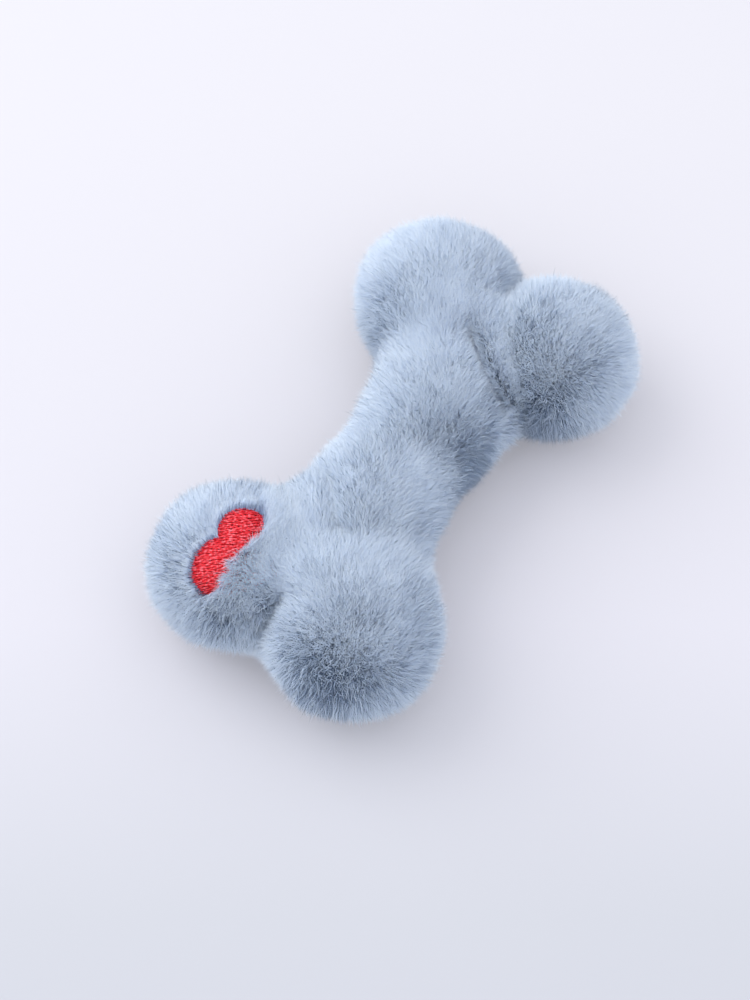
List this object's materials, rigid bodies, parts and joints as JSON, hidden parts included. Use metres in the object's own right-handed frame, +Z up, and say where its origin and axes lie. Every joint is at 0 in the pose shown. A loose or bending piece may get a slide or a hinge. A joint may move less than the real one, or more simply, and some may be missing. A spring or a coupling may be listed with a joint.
{
  "type": "squeaky plush dog toy bone",
  "caption": "Long-pile plush dog bone with lobed ends and a waisted shaft, fibre stuffing, a stitched heart on one lobe and a squeaker with its reed inside the shaft.",
  "frame": {"origin": "on the floor under the middle of the bone", "axes": "+X along the bone away from the heart end, +Y across it towards the lobe pair that has the heart, +Z up out of the side that carries the heart"},
  "size_m": [0.18, 0.102, 0.0475],
  "materials": {
    "pile_fabric": "long soft pile",
    "heart_thread": "satin-stitched thread",
    "backing_sheet": "non-woven sheet",
    "sewing_thread": "spun thread",
    "fibre_fill": "loose fibre",
    "bladder_plastic": "blow-moulded, milky",
    "reed_plastic": "injection-moulded",
    "reed_metal": "rolled strip"
  },
  "bodies": {
    "toy": {"top_panel": "pile_fabric", "bottom_panel": "pile_fabric", "heart_embroidery": "heart_thread", "heart_backing": "backing_sheet", "seam_needle_thread": "sewing_thread", "seam_bobbin_thread": "sewing_thread", "closing_thread": "sewing_thread", "shaft_fill_upper": "fibre_fill", "shaft_fill_lower": "fibre_fill", "lobe_fill_heart_end_left": "fibre_fill", "lobe_fill_heart_end_right": "fibre_fill", "lobe_fill_plain_end_left": "fibre_fill", "lobe_fill_plain_end_right": "fibre_fill", "squeaker_bellows": "bladder_plastic", "squeaker_base": "bladder_plastic", "reed_barrel": "reed_plastic", "reed_seat": "reed_plastic", "reed_clamp": "reed_plastic"},
    "crown": {"squeaker_crown": "bladder_plastic"},
    "tongue": {"reed_tongue": "reed_metal"}
  },
  "joints": [
    {"name": "squeeze", "type": "slide", "parent": "toy", "child": "crown", "axis": [0, 0, -1], "range_m": [0, 0.006], "stiffness_N_per_m": 1500, "deforming": ["squeaker_bellows"]},
    {"name": "reed_lift", "type": "hinge", "parent": "toy", "child": "tongue", "pos_m": [0, -0.002, 0.01705], "axis": [-1, 0, 0], "range_deg": [0, 4], "stiffness_Nm_per_rad": 0.001}
  ]
}
